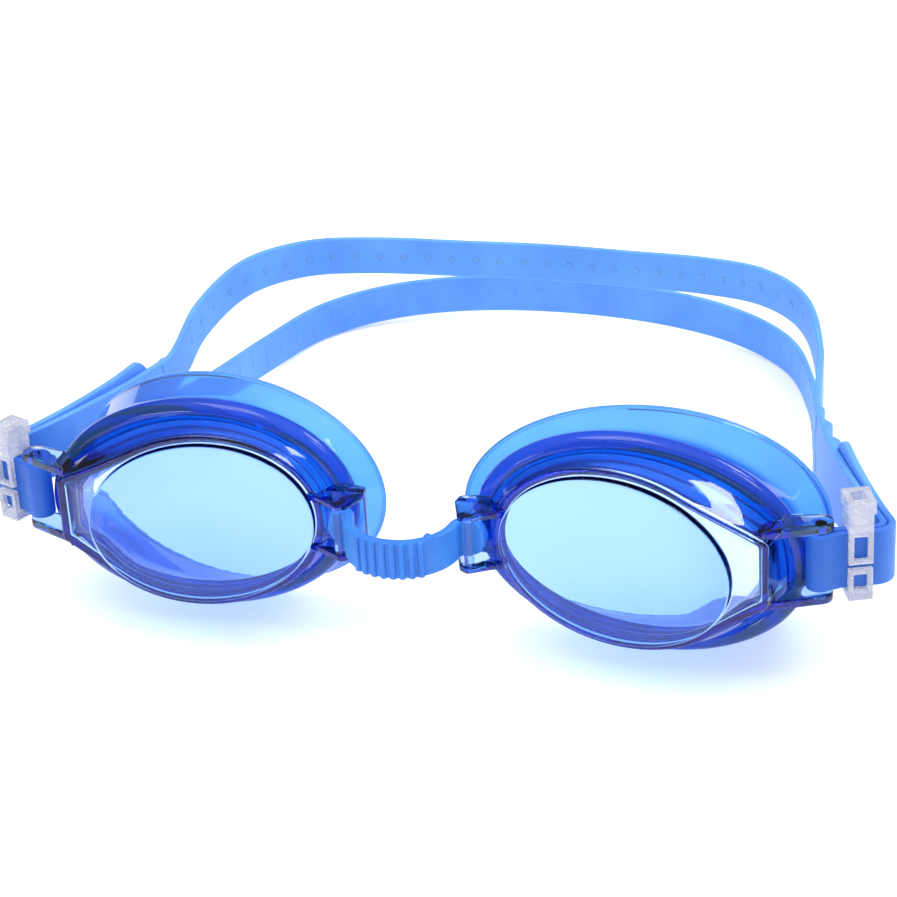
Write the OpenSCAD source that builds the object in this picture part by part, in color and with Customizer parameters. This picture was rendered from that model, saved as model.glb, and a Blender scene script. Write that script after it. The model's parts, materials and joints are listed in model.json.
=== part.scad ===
// Swim goggles: two clear lens cups, soft seals, a nose bridge and a split head strap.
// The lenses face -Y and the strap loops back along +Y. Right is +X, as seen from the front.
// The goggles stand on the lower edges of the two seals and of the strap's lower band.

/* [Stance] */
// Lean of the whole front, which tips the lens faces up, in degrees
lean = 9.6; // [8:0.2:11]
// Distance from the middle plane to each lens centre
pod_x = 37.4; // [36:0.2:40]
// Turn of each lens about its upright axis, which brings the temple end forward, in degrees
toe = 6.5; // [4:0.5:8]
// Droop of each oval's temple end, in degrees
droop = 7; // [4:0.5:9]

/* [Lens] */
// Half length of the raised oval window
window_a = 20.8; // [19:0.2:22]
// Half height of the raised oval window
window_b = 15.5; // [14:0.1:16]
// Thickness of the lens walls
wall = 1.6; // [1.2:0.1:2]
// Half length of the lens rim, where the seal grips it
rim_a = 27.2; // [26:0.2:28]
// Half height of the lens rim
rim_b = 18.2; // [17:0.2:19]

/* [Seal] */
// Radius of the round bead that grips the lens rim
bead_r = 1.5; // [1.2:0.1:1.7]
// Half length of the soft lip that meets the face
lip_a = 32.5; // [31:0.5:34]
// Half height of the soft lip
lip_b = 21.4; // [20:0.2:23]
// Depth from the lens face to the middle of the lip
lip_depth = 21.5; // [19:0.5:24]
// Thickness of the lip
lip_wall = 1.3; // [1:0.1:1.6]

/* [Nose bridge] */
// Height of the bridge band
bridge_h = 7; // [6:0.5:8]
// Thickness of the bridge band
bridge_t = 1.8; // [1.4:0.1:2]
// Number of grip ribs on the bridge
bridge_ribs = 8; // [4:2:8]

/* [Head strap] */
// Thickness of the strap
strap_t = 1.3; // [1:0.1:1.4]
// Height of the strap where it passes through the clip
strap_h = 10.5; // [9:0.5:11]
// Height of the upper and of the lower band
band_h = 7.8; // [7:0.2:8]
// Length of the free tail behind the clip
tail_length = 24; // [18:1:26]

/* [Hidden] */
$fn = 64;

// Placing of the front assembly over the floor, with the origin under the middle of the whole
stand_height = 26;
stand_back = -52;

// Lens depths: face, shoulder behind the raised window, and seal plane
window_step = 1.5;
seal_depth = 9.7;
seal_sweep = 6.5;
seal_x = 1.8;
lip_sweep = 18.2;
lip_x = -0.9;
lip_drop = 1.0;

// Temple bar in the lens's own plan, and the strap's middle height there
bar_x = 33.2;
bar_y = 11;
bar_r = 1.0;
bar_gap = 0.1;
strap_z = 0.8;
arm_t = 1.7;
arm_gap = 0.6;
arm_r = 2.3;

// Nose post in the lens's own plan
post_x = -25.6;
post_y = -1.5;
post_r = 0.9;
post_gap = 0.15;
nose_z = 0.9;
nose_room = 8.6;
nose_plate = 1.2;
lug_end = -29.6;

// A point of the lens's plan, moved into the plan of the whole front
function front_plan(p) = [pod_x + p.x * cos(toe) + p.y * sin(toe), p.y * cos(toe) - p.x * sin(toe)];
bar = front_plan([bar_x, bar_y]);
post = front_plan([post_x, post_y]);

function unit(a) = [cos(a), sin(a)];
function arc(c, r, a0, a1, n) = [for (i = [0:n]) c + r * unit(a0 + (a1 - a0) * i / n)];

// Route of the folded strap end, as the middle line between its two layers
run_dir = 22;
run_length = 9.6;
bend_r = 2.4;
bend_dir = 119;
layer_gap = 0.2;
wrap_r = bar_r + bar_gap + strap_t / 2;
layer = (strap_t + layer_gap) / 2;
closing = 3.4;
bend_centre = bar + run_length * unit(run_dir) + bend_r * unit(run_dir + 90);
bend_end = bend_centre + bend_r * unit(bend_dir - 90);
guide = bend_end + 24.5 * unit(bend_dir);

// Where the strap splits, and the right halves of its two bands, in the front's own axes
fork = [64, 52, -0.4];
upper_route = [[64, 52, 3.7], [62, 66, 10], [57, 79, 14], [47.5, 89, 14.8], [34.5, 96, 13.6],
    [17.5, 100.5, 12.2], [0, 102.8, 11.6]];
lower_route = [[64, 52, -4.5], [61, 69, -6], [57, 87, -6.4], [50, 102, -5], [37, 110, -2.8],
    [20, 112.7, -0.8], [0, 112.8, 0.2]];
fork_gap = 0.4;
band_lift = 18;
lead_in = 3;

// Clip
clip_at = 6.4;
clip_depth = 4.2;
clip_wall = 1.1;
clip_fit = 0.2;
clip_low = -7.1;
clip_high = 11.5;
clip_bar = 0.9;
clip_slit = 0.9;

// Bridge in plan: each half is an arc that starts at the front and turns round the back of a post.
// The right post is left free by a wider gap, which takes up the change of distance as the cups swing.
bridge_front = -6.8;
left_reach = post_r + post_gap + bridge_t / 2;
right_reach = post_r + 0.85 + bridge_t / 2;
function bridge_r(reach) = (post.x * post.x + pow(post.y - bridge_front, 2) - reach * reach)
    / (2 * (post.y - bridge_front + reach));
function bridge_c(reach) = [0, bridge_front + bridge_r(reach)];
rib_r = 0.5;
rib_pitch = 9.5;

module stand() translate([0, stand_back, stand_height]) rotate([-lean, 0, 0]) children();
module right_pod() stand() translate([pod_x, 0, 0]) rotate([0, 0, -toe]) children();
module left_side() mirror([1, 0, 0]) children();

// A thin oval plate that faces -Y
module oval(a, b, t) rotate([-90, 0, 0]) linear_extrude(t) scale([a, b]) circle(1, $fn = 48);

// The plane of the seal and the plane of the face lip, each turned about the upright axis
module seal_plane() translate([seal_x, seal_depth, 0]) rotate([0, 0, seal_sweep]) children();
module lip_plane() translate([lip_x, lip_depth, -lip_drop]) rotate([0, 0, lip_sweep]) children();

// Solid outside of the lens cup behind its raised window
module cup_outside() hull() {
    translate([0, window_step, 0]) oval(window_a + 1.6, window_b + 1.6, 0.4);
    seal_plane() translate([0, -0.6, 0]) oval(rim_a, rim_b, 0.6);
}

module cup_inside() hull() {
    translate([0, window_step + wall, 0]) oval(window_a + 0.6, window_b, 0.2);
    seal_plane() oval(rim_a - wall, rim_b - wall, 3);
}

// Flat shelf at the temple end that carries the two arms, hollow behind
module temple_shelf() {
    level = strap_z;
    for (side = [-1, 1]) {
        arm_z = level + side * (strap_h / 2 + arm_gap + arm_t / 2);
        translate([0, 0, arm_z - arm_t / 2]) linear_extrude(arm_t) {
            polygon([[19.5, 2.2], [26.6, 2.2], [bar_x + 1.1, bar_y - 2.02],
                [bar_x - 1, bar_y + 2.07], [27, bar_y], [23, 7.4]]);
            translate([bar_x, bar_y]) circle(arm_r);
        }
    }
    translate([0, 0, level - strap_h / 2 - arm_gap - 0.4])
        linear_extrude(strap_h + 2 * arm_gap + 0.8)
            polygon([[20, 2.2], [26.6, 2.2], [28, 5.4], [26.9, 5.9], [25.6, 3.6], [20, 3.6]]);
}

module temple_bar() translate([bar_x, bar_y, strap_z - strap_h / 2 - arm_gap - 0.4])
    cylinder(r = bar_r, h = strap_h + 2 * arm_gap + 0.8);

// Two plates at the nose end, joined by the front post and by a short wall behind the bridge
module nose_lug() {
    for (side = [-1, 1])
        translate([0, 0, nose_z + side * (nose_room + nose_plate) / 2 - nose_plate / 2])
            linear_extrude(nose_plate) {
                polygon([[-18, 0.5], [post_x, post_y - 1.3], [lug_end, 2], [lug_end, 4.6], [-21, 6]]);
                translate([post_x, post_y]) circle(1.3);
            }
    translate([post_x, post_y, nose_z - nose_room / 2 - 0.3]) cylinder(r = post_r, h = nose_room + 0.6);
    translate([lug_end, 3.4, nose_z - nose_room / 2 - 0.3]) cube([6, 1.2, nose_room + 0.6]);
}

module lens() {
    difference() {
        union() {
            rotate([0, droop, 0]) {
                oval(window_a, window_b, window_step + 1.2);
                cup_outside();
            }
            temple_shelf();
            nose_lug();
        }
        rotate([0, droop, 0]) cup_inside();
    }
    temple_bar();
}

module right_lens() color([0.25, 0.6, 0.95, 0.6]) right_pod() lens();
module left_lens() color([0.25, 0.6, 0.95, 0.6]) left_side() right_pod() lens();

// The bead grips the lens rim, and the skirt widens back to the lip that meets the face
module seal_skirt() difference() {
    hull() {
        seal_plane() oval(rim_a + 0.8, rim_b + 0.8, 0.8);
        lip_plane() translate([0, -1, 0]) oval(lip_a, lip_b, 1);
    }
    hull() {
        seal_plane() translate([0, -0.1, 0]) oval(rim_a - lip_wall, rim_b - lip_wall, 0.2);
        lip_plane() translate([0, -0.2, 0]) oval(lip_a - lip_wall, lip_b - lip_wall, 1);
    }
}

module seal_bead() seal_plane() rotate([-90, 0, 0]) scale([rim_a / rim_b, 1, 1])
    rotate_extrude() translate([rim_b + 0.3, 0]) circle(bead_r, $fn = 24);

module gasket() difference() {
    rotate([0, droop, 0]) {
        seal_bead();
        seal_skirt();
    }
    rotate([0, droop, 0]) cup_outside();
    temple_shelf();
    nose_lug();
}

module right_gasket() color("royalblue") right_pod() gasket();
module left_gasket() color("royalblue") left_side() right_pod() gasket();

// Half of the bridge: its arc, the turn round the back of the post, and the rounded head
module bridge_half(reach) {
    c = bridge_c(reach);
    post_angle = atan2(post.y - c.y, post.x);
    turn_end = 80;
    rotate_about(c, -91) rotate_extrude(angle = 91.5 + post_angle)
        translate([bridge_r(reach), 0]) square([bridge_t, bridge_h], center = true);
    rotate_about(post, turn_end) rotate_extrude(angle = 180 + post_angle - turn_end)
        translate([reach, 0]) square([bridge_t, bridge_h], center = true);
    head = post + reach * unit(turn_end);
    translate([head.x, head.y, 0]) rotate([90, 0, turn_end - 90])
        scale([0.6, 1, 1]) cylinder(r = bridge_h / 2, h = bridge_t, center = true);
}

module bridge_rib(reach, angle) {
    rib = bridge_c(reach) + (bridge_r(reach) + bridge_t / 2 - 0.1) * unit(angle - 90);
    translate([rib.x, rib.y, -bridge_h / 2]) cylinder(r = rib_r, h = bridge_h, $fn = 24);
}

module rotate_about(p, a) translate([p.x, p.y, 0]) rotate([0, 0, a]) children();

module nose_bridge() color("dodgerblue") stand() translate([0, 0, nose_z]) {
    bridge_half(right_reach);
    left_side() bridge_half(left_reach);
    for (i = [0:bridge_ribs / 2 - 1]) {
        bridge_rib(right_reach, (i + 0.5) * rib_pitch);
        left_side() bridge_rib(left_reach, (i + 0.5) * rib_pitch);
    }
}

// Ribbon swept along a list of points, upright, with its own height at each point
function direction(p, i) = let (d = p[min(i + 1, len(p) - 1)] - p[max(i - 1, 0)]) d / norm(d);
function ring(p, t, h, w) = let (
    side = cross(t, [0, 0, 1]) / norm(cross(t, [0, 0, 1])), up = cross(side, t), e = min(0.3, w / 4))
    [for (c = [[w / 2, h / 2 - e], [w / 2 - e, h / 2], [e - w / 2, h / 2], [-w / 2, h / 2 - e],
        [-w / 2, e - h / 2], [e - w / 2, -h / 2], [w / 2 - e, -h / 2], [w / 2, e - h / 2]])
        p + side * c.x + up * c.y];
module ribbon(p, h, w) {
    n = len(p);
    rings = [for (i = [0:n - 1]) each ring(p[i], direction(p, i), h[i], w)];
    walls = [for (i = [0:n - 2], k = [0:7])
        [i * 8 + k, i * 8 + (k + 1) % 8, (i + 1) * 8 + (k + 1) % 8, (i + 1) * 8 + k]];
    front = [[for (k = [7:-1:0]) k]];
    back = [[for (k = [0:7]) (n - 1) * 8 + k]];
    polyhedron(rings, concat(walls, front, back), convexity = 6);
}

// Smooth curve through a list of points, entered and left along its neighbours
function curve(a, b, c, d, t) = 0.5 * (2 * b + (c - a) * t + (2 * a - 5 * b + 4 * c - d) * t * t
    + (3 * b - a - 3 * c + d) * t * t * t);
function spline(p, n) = [for (i = [1:len(p) - 3], k = [0:n - 1])
    curve(p[i - 1], p[i], p[i + 1], p[i + 2], k / n), p[len(p) - 2]];
function mirrored(p) = [for (i = [len(p) - 2:-1:0]) [-p[i].x, p[i].y, p[i].z]];

// A whole band from the right fork to the left one, trimmed back by a gap at each end
function band_route(half) = let (
    lead = [guide.x, guide.y, half[0].z],
    all = concat([lead], half, mirrored(half), [[-lead.x, lead.y, lead.z]]))
    spline(all, 5);
module band(half) {
    p = band_route(half);
    n = len(p);
    route = concat([p[0] - lead_in * direction(p, 0)], [for (i = [1:n - 2]) p[i]],
        [p[n - 1] + lead_in * direction(p, n - 1)]);
    ribbon(route, [for (q = route) band_h], strap_t);
}

// Everything in front of the fork, or behind it, up to a plane that leans back by an angle
module before_fork(angle, gap) translate(fork) rotate([-angle, 0, 0])
    translate([-2 * fork.x - 20, gap - 60, -60]) cube([2 * fork.x + 40, 60, 120]);
module past_fork() translate(fork) translate([-20, 0, -30]) cube([40, 20, 60]);

module upper_strap_band() color("cornflowerblue") stand() difference() {
    band(upper_route);
    before_fork(band_lift + 2, fork_gap);
}

module lower_strap_band() color("cornflowerblue") stand() difference() {
    band(lower_route);
    before_fork(0, 0);
}

// Strap end in plan: main layer from the bend forward, round the bar, and back out through the clip
function layers() = concat(
    arc(bend_centre, bend_r - layer, bend_dir - 90, run_dir - 90, 8),
    [bar + closing * unit(run_dir) + layer * unit(run_dir + 90)],
    arc(bar, wrap_r, run_dir + 90, run_dir + 270, 20),
    [bar + closing * unit(run_dir) - layer * unit(run_dir + 90)],
    arc(bend_centre, bend_r + layer, run_dir - 90, bend_dir - 90, 8));
function side_of(p, i, w) = let (
    d = p[min(i + 1, len(p) - 1)] - p[max(i - 1, 0)]) p[i] + w * [-d.y, d.x] / norm(d);
module thick_line(p, w) {
    n = len(p);
    there = [for (i = [0:n - 1]) side_of(p, i, w / 2)];
    back = [for (i = [n - 1:-1:0]) side_of(p, i, -w / 2)];
    polygon(concat(there, back));
}

// Points from the bend to the fork, moved sideways for the tail, which lies on the outside
function to_fork(t, shift, z) = let (
    q = (1 - t) * (1 - t) * bend_end + 2 * t * (1 - t) * guide + t * t * [fork.x, fork.y],
    d = (1 - t) * (guide - bend_end) + t * ([fork.x, fork.y] - guide), n = [d.y, -d.x] / norm(d))
    [q.x + shift * n.x, q.y + shift * n.y, z];
function ease(t) = t * t * (3 - 2 * t);
fork_h = 2 * band_h + 0.4;
steps = 14;

module strap_end() stand() {
    translate([0, 0, strap_z - strap_h / 2]) linear_extrude(strap_h) difference() {
        thick_line(layers(), strap_t);
        translate(bar) circle(bar_r + bar_gap);
    }
    main = [for (i = [0:steps + 1]) let (t = i / steps)
        to_fork(t, -layer, strap_z + (fork.z - strap_z) * ease(min(t, 1)))];
    main_h = [for (i = [0:steps + 1]) strap_h + (fork_h - strap_h) * ease(min(i / steps, 1))];
    difference() {
        ribbon(main, main_h, strap_t);
        past_fork();
    }
    tail_t = tail_length / 42;
    tip = strap_h / 2;
    tail = [for (i = [0:steps]) to_fork(sqrt(i / steps) * tail_t, layer, strap_z)];
    tail_h = [for (i = [0:steps]) let (left = (1 - sqrt(i / steps)) * tail_length)
        left > tip ? strap_h : 2 + (strap_h - 2) * sqrt(max(0, 1 - pow(1 - left / tip, 2)))];
    ribbon(tail, tail_h, strap_t);
}

module right_strap_end() color("cornflowerblue") strap_end();
module left_strap_end() color("cornflowerblue") left_side() strap_end();

// Clip: a frame round both strap layers, with two windows and a slit in its front face
module clip() {
    room = layer + strap_t / 2 + clip_fit;
    low = clip_low + 1.4;
    high = strap_h / 2 + clip_fit + 0.1;
    depth = clip_depth;
    stand() rotate_about(bar, run_dir) translate([clip_at - depth / 2, 0, strap_z]) difference() {
        union() {
            translate([0, -room - clip_wall, clip_low])
                cube([depth, 2 * (room + clip_wall), clip_high - clip_low]);
            translate([-0.3, -room - clip_wall - 0.3, clip_high - 2.4])
                cube([depth + 0.6, 2 * (room + clip_wall) + 0.6, 2.4]);
        }
        translate([-1, -room, low]) cube([depth + 2, 2 * room, high - low]);
        translate([clip_bar, -room - 2, 0.5]) cube([depth - 2 * clip_bar, 3, high - 0.4]);
        translate([clip_bar, -room - 2, low]) cube([depth - 2 * clip_bar, 3, -clip_slit - 1.3 - low]);
        translate([-1, -room - 2, -clip_slit - 0.3]) cube([depth + 2, 2.2, clip_slit]);
        translate([clip_bar, -room + 0.4, high + 1.2])
            cube([depth - 2 * clip_bar, 2 * room - 0.8, clip_high]);
    }
}

module right_clip() color("gainsboro") clip();
module left_clip() color("gainsboro") left_side() clip();

right_lens();
left_lens();
right_gasket();
left_gasket();
nose_bridge();
right_strap_end();
left_strap_end();
upper_strap_band();
lower_strap_band();
right_clip();
left_clip();
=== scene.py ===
import json
import math
import bpy
import numpy as np
from mathutils import Matrix, Vector


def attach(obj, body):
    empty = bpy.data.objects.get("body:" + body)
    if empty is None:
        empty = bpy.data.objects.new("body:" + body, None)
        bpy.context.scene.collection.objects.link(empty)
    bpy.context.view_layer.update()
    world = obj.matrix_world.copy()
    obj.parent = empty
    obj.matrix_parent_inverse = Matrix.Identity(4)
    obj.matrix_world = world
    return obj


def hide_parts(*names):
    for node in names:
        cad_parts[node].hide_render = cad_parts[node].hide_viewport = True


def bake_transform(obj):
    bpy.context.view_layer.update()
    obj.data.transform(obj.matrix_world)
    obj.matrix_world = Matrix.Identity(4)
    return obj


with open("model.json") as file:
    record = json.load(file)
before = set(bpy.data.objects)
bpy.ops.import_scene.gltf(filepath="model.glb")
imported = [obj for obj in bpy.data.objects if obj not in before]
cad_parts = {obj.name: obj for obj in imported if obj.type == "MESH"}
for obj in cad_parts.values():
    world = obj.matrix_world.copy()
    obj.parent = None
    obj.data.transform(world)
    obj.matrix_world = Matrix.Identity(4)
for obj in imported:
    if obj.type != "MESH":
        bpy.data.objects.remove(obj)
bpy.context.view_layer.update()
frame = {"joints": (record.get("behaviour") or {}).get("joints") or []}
joints = {j["name"]: j for j in frame["joints"]}

# Sizes are in millimetres on the front's own axes, from midway between the lenses:
# X to the right, Y back, Z up. Inside a lens cup they are on the cup's axes, which
# toFront() turns into the front's.
stance = {
    "cupX": 37.4,            # middle of each cup from the middle plane
    "toe": 6.5,              # turn of each cup about its upright axis, degrees
    "droop": 7.0,            # how far each oval's temple end hangs, degrees
    "bar": (33.2, 11.0),     # temple bar in the cup's plan
    "post": (-25.6, -1.5),   # nose post in the cup's plan
    "strapZ": 0.8,           # middle height of the strap at the bar
    "noseZ": 0.9,            # middle height of the bridge
}
mm = 0.001
swing = joints["right_eyecup_swing"]
lean = math.atan2(swing["axis"][1], swing["axis"][2])


def degrees(angle):
    return angle * math.pi / 180


def toFront(points):
    # Cup axes to front axes: a turn by the toe angle about Z, then a step to the cup's place
    p = np.asarray(points, float)
    c, s = math.cos(degrees(stance["toe"])), math.sin(degrees(stance["toe"]))
    x = stance["cupX"] + p[..., 0] * c + p[..., 1] * s
    return np.stack([x, p[..., 1] * c - p[..., 0] * s, p[..., 2]], -1)


def leaned(p):
    # The whole front leans back about X
    c, s = math.cos(lean), math.sin(lean)
    return np.stack([p[..., 0], p[..., 1] * c + p[..., 2] * s, p[..., 2] * c - p[..., 1] * s], -1)


barPlan = toFront([*stance["bar"], 0])[:2]
postPlan = toFront([*stance["post"], 0])[:2]
origin = np.array(swing["pos_m"]) / mm - leaned(np.array([*barPlan, stance["strapZ"]]))


def toTable(points):
    # Front axes in millimetres to the frame's axes in metres
    return (leaned(np.asarray(points, float)) + origin) * mm


def unit(angle):
    a = np.radians(angle)
    return np.stack([np.cos(a), np.sin(a)], -1)


def ease(t):
    t = np.clip(t, 0, 1)
    return t * t * (3 - 2 * t)


cameraSet = {"azimuth": 19.75, "elevation": 35.03, "roll": -6.87, "distance": 0.44,
             "target": (0.00946, -0.04829, 0.04484), "lens": 104.35}


def makeCamera(s):
    a, e, r = (degrees(s[k]) for k in ("azimuth", "elevation", "roll"))
    away = Vector((math.sin(a) * math.cos(e), -math.cos(a) * math.cos(e), math.sin(e)))
    side = Vector((math.cos(a), math.sin(a), 0))
    up = away.cross(side)
    right = side * math.cos(r) + up * math.sin(r)
    up = away.cross(right)
    cam = bpy.data.objects.new("camera", bpy.data.cameras.new("camera"))
    cam.data.lens = s["lens"]
    cam.data.sensor_width = 36
    cam.data.clip_start = 0.01
    place = Vector(s["target"]) + away * s["distance"]
    cam.matrix_world = Matrix.Translation(place) @ Matrix((right, up, away)).transposed().to_4x4()
    bpy.context.scene.collection.objects.link(cam)
    bpy.context.scene.camera = cam
    print("camera stands", tuple(round(v, 3) for v in place))


makeCamera(cameraSet)


def skin(rings, ends="fan"):
    # Quads between neighbouring rings of points. The ends are closed by a fan each, or the last
    # ring joins the first in a loop.
    rows, cols = rings.shape[:2]
    at = np.arange(rows * cols).reshape(rows, cols)
    beside = np.roll(at, -1, 1)
    last = rows if ends == "loop" else rows - 1
    up, upBeside = np.roll(at, -1, 0), np.roll(beside, -1, 0)
    quads = np.stack([at, beside, upBeside, up], -1)[:last].reshape(-1, 4)
    verts, faces = rings.reshape(-1, 3), quads.tolist()
    if ends == "fan":
        verts = np.vstack([verts, rings[0].mean(0), rings[-1].mean(0)])
        n = rows * cols
        faces += [[b, a, n] for a, b in zip(at[0].tolist(), beside[0].tolist())]
        faces += [[a, b, n + 1] for a, b in zip(at[-1].tolist(), beside[-1].tolist())]
    return verts, faces


def outward(part):
    # Turns a closed part's faces to point outwards: its signed volume has to be positive
    verts, faces = part
    tris = np.array([[f[0], f[i], f[i + 1]] for f in faces for i in range(1, len(f) - 1)])
    a, b, c = (verts[tris[:, i]] for i in range(3))
    if np.einsum("ij,ij->i", a, np.cross(b, c)).sum() < 0:
        faces = [f[::-1] for f in faces]
    return verts, faces


def flipped(part):
    # Mirror image across the middle plane
    verts, faces = part
    return verts * [-1, 1, 1], faces


def sided(part, side):
    # Parts are drawn on the right, and the left one is the mirror image
    return flipped(part) if side == "left" else part


def joined(parts):
    verts, faces, n = [], [], 0
    for v, f in parts:
        verts.append(v)
        faces += [[i + n for i in g] for g in f]
        n += len(v)
    return np.vstack(verts), faces


def slab(outline, low, high, bevel=0.25):
    # An outline in plan drawn up from low to high, with its edges drawn in by the bevel
    p = np.asarray(outline, float)
    d = np.roll(p, -1, 0) - np.roll(p, 1, 0)
    n = np.stack([d[:, 1], -d[:, 0]], -1) / np.linalg.norm(d, axis=1)[:, None]
    area = (p[:, 0] * np.roll(p[:, 1], -1) - np.roll(p[:, 0], -1) * p[:, 1]).sum()
    n *= np.sign(area)
    steps = [(bevel, low), (bevel * 0.3, low + bevel * 0.3), (0, low + bevel),
             (0, high - bevel), (bevel * 0.3, high - bevel * 0.3), (bevel, high)]
    return skin(np.stack([np.column_stack([p - n * inset, np.full(len(p), z)])
                          for inset, z in steps]))


def rounded(corners, radii, n=6):
    # A polygon in plan with each corner turned by an arc of its own radius
    c = np.asarray(corners, float)
    out = []
    for i, r in enumerate(radii):
        a, b, d = c[i - 1], c[i], c[(i + 1) % len(c)]
        u, v = (a - b) / np.linalg.norm(a - b), (d - b) / np.linalg.norm(d - b)
        half = math.acos(np.clip(u @ v, -1, 1)) / 2
        middle = b + (u + v) / np.linalg.norm(u + v) * r / math.sin(half)
        start, end = b + u * r / math.tan(half) - middle, b + v * r / math.tan(half) - middle
        t = np.linspace(0, 1, n)[:, None]
        arc = start * (1 - t) + end * t
        out.append(middle + arc / np.linalg.norm(arc, axis=1)[:, None] * r)
    return np.vstack(out)


def deepen(mesh, dense):
    # Says where a piece's tint is deeper, from 0 to 1 at each point
    points = mesh.attributes.new("dense", "FLOAT", "POINT").data
    points.foreach_set("value", dense.astype(np.float32))


def makePiece(name, part, material, sharp=35):
    verts, faces = outward(part)
    mesh = bpy.data.meshes.new(name)
    mesh.from_pydata(toTable(verts).tolist(), [], faces)
    mesh.update()
    mesh.shade_smooth()
    mesh.set_sharp_from_angle(angle=degrees(sharp))
    mesh.materials.append(material)
    piece = bpy.data.objects.new(name, mesh)
    bpy.context.scene.collection.objects.link(piece)
    return piece


def settle(piece, sharp=35):
    # Replaces a piece's mesh with what its modifiers make of it
    final = piece.evaluated_get(bpy.context.evaluated_depsgraph_get())
    made = bpy.data.meshes.new_from_object(final)
    piece.modifiers.clear()
    piece.data = made
    made.shade_smooth()
    made.set_sharp_from_angle(angle=degrees(sharp))


def combine(piece, steps):
    # Joins or cuts closed tools into one closed body, in order
    for operation, tool in steps:
        cut = piece.modifiers.new(operation, "BOOLEAN")
        cut.operation = operation
        cut.solver = "MANIFOLD"
        cut.object = tool
    settle(piece)
    for operation, tool in steps:
        bpy.data.objects.remove(tool)
    return piece


def nodeGroup(name, inputs, outputs):
    tree = bpy.data.node_groups.new(name, "ShaderNodeTree")
    for label, kind, value in inputs:
        tree.interface.new_socket(label, in_out="INPUT", socket_type=kind).default_value = value
    for label, kind in outputs:
        tree.interface.new_socket(label, in_out="OUTPUT", socket_type=kind)
    return tree, tree.nodes.new("NodeGroupInput"), tree.nodes.new("NodeGroupOutput")


def mottleGroup():
    # Clouds of two tints over a fine moulded grain, from where a point lies on the object
    tree, given, out = nodeGroup(
        "mouldedMottle",
        [("Tint", "NodeSocketColor", (0.5, 0.5, 0.5, 1)),
         ("Deep Tint", "NodeSocketColor", (0.3, 0.3, 0.3, 1)),
         ("Cloud Scale", "NodeSocketFloat", 90), ("Grain Scale", "NodeSocketFloat", 1800),
         ("Roughness Low", "NodeSocketFloat", 0.2), ("Roughness High", "NodeSocketFloat", 0.4)],
        [("Colour", "NodeSocketColor"), ("Roughness", "NodeSocketFloat"),
         ("Height", "NodeSocketFloat")])
    place = tree.nodes.new("ShaderNodeTexCoord")
    cloud, grain = (tree.nodes.new("ShaderNodeTexNoise") for _ in range(2))
    mix = tree.nodes.new("ShaderNodeMix")
    mix.data_type = "RGBA"
    ramp, rough = (tree.nodes.new("ShaderNodeMapRange") for _ in range(2))
    for node, low, high in ((ramp, 0.35, 0.65), (rough, 0.3, 0.7)):
        node.inputs["From Min"].default_value = low
        node.inputs["From Max"].default_value = high
    height = tree.nodes.new("ShaderNodeMath")
    height.operation = "MULTIPLY_ADD"
    height.inputs[1].default_value = 0.25
    link = tree.links.new
    for noise, scale in ((cloud, "Cloud Scale"), (grain, "Grain Scale")):
        link(place.outputs["Object"], noise.inputs["Vector"])
        link(given.outputs[scale], noise.inputs["Scale"])
        noise.inputs["Detail"].default_value = 4
    link(cloud.outputs["Fac"], ramp.inputs["Value"])
    link(ramp.outputs["Result"], mix.inputs["Factor"])
    link(given.outputs["Tint"], mix.inputs["A"])
    link(given.outputs["Deep Tint"], mix.inputs["B"])
    link(mix.outputs["Result"], out.inputs["Colour"])
    link(grain.outputs["Fac"], rough.inputs["Value"])
    link(given.outputs["Roughness Low"], rough.inputs["To Min"])
    link(given.outputs["Roughness High"], rough.inputs["To Max"])
    link(rough.outputs["Result"], out.inputs["Roughness"])
    link(grain.outputs["Fac"], height.inputs[0])
    link(cloud.outputs["Fac"], height.inputs[2])
    link(height.outputs["Value"], out.inputs["Height"])
    return tree


mottle = mottleGroup()
lampShare = 0.25   # how much of a clear body's tint lamps meet, so that the floor stays pale


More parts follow.
